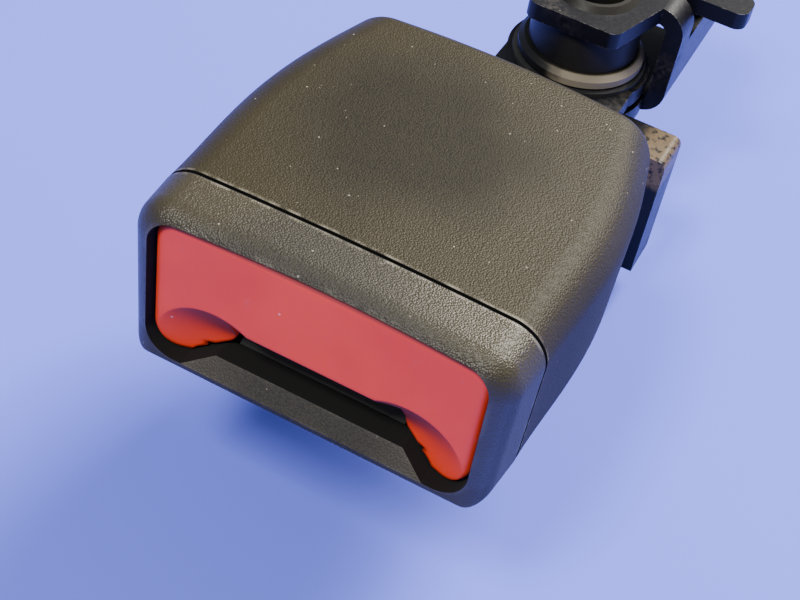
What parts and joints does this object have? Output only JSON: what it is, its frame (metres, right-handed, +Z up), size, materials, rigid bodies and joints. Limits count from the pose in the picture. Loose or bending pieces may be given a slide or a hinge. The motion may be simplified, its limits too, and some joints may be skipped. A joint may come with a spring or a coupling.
{
  "type": "seat belt buckle",
  "caption": "Push-button seat belt buckle with a two-part shell and a steel stalk that swivels on a folded anchor bracket.",
  "frame": {"origin": "centre of the anchor bolt's bore, at mid thickness of the stalk's eye", "axes": "+Z up along the anchor bolt, away from the leg; -Y towards the tongue slot along the head; +X towards the bracket's web"},
  "size_m": [0.056, 0.1308, 0.0534],
  "materials": {
    "cover_plastic": "fine pebble grain, black",
    "bezel_plastic": "fine pebble grain, black",
    "button_plastic": "satin red",
    "frame_steel": "zinc plated",
    "guide_plastic": "smooth black",
    "latch_steel": "hardened, ground edges",
    "pin_steel": "bright drawn",
    "slide_plastic": "natural acetal",
    "spring_wire": "drawn wire",
    "stalk_steel": "black electrocoat",
    "rivet_steel": "zinc plated",
    "bush_steel": "black phosphate",
    "bearing_nylon": "moulded nylon",
    "washer_steel": "rolled spring strip",
    "bracket_steel": "black electrocoat"
  },
  "bodies": {
    "bracket": {"anchor_bracket": "bracket_steel", "anchor_bush": "bush_steel", "spring_washer": "washer_steel", "wear_washer": "bearing_nylon"},
    "head": {"stalk_strap": "stalk_steel", "stalk_rivets": "rivet_steel", "stalk_bearing": "bearing_nylon", "buckle_frame": "frame_steel", "tongue_guide": "guide_plastic", "latch_pivot_pin": "pin_steel", "rear_cover": "cover_plastic", "bottom_cover": "cover_plastic", "front_bezel": "bezel_plastic", "button_spring_left": "spring_wire", "button_spring_right": "spring_wire", "ejector_spring": "spring_wire", "latch_spring": "spring_wire"},
    "button": {"release_button": "button_plastic"},
    "lock": {"lock_bar": "pin_steel"},
    "latch": {"latch": "latch_steel"},
    "ejector": {"ejector": "slide_plastic"}
  },
  "joints": [
    {"name": "stalk_swivel", "type": "hinge", "parent": "bracket", "child": "head", "pos_m": [0, 0, 0], "axis": [0, 0, 1], "range_deg": [-20, 20]},
    {"name": "button_press", "type": "slide", "parent": "head", "child": "button", "axis": [0, 1, 0], "range_m": [0, 0.0045], "stiffness_N_per_m": 600, "springref_m": -0.004, "deforming": ["button_spring_left", "button_spring_right"]},
    {"name": "ejector_slide", "type": "slide", "parent": "head", "child": "ejector", "axis": [0, 1, 0], "range_m": [0, 0.01], "stiffness_N_per_m": 300, "springref_m": -0.008, "deforming": ["ejector_spring"]},
    {"name": "latch_pivot", "type": "hinge", "parent": "head", "child": "latch", "pos_m": [0, -0.0523, 0.0133], "axis": [1, 0, 0], "range_deg": [0, 11.5], "deforming": ["latch_spring"]},
    {"name": "lock_bar_slide", "type": "slide", "parent": "button", "child": "lock", "axis": [0, -1, 0], "range_m": [0, 0.007]}
  ],
  "couplings": [
    {"joint": "latch_pivot", "follows": "ejector_slide", "rad_per_m": 20.071},
    {"joint": "lock_bar_slide", "follows": "ejector_slide", "ratio": 0.7}
  ]
}
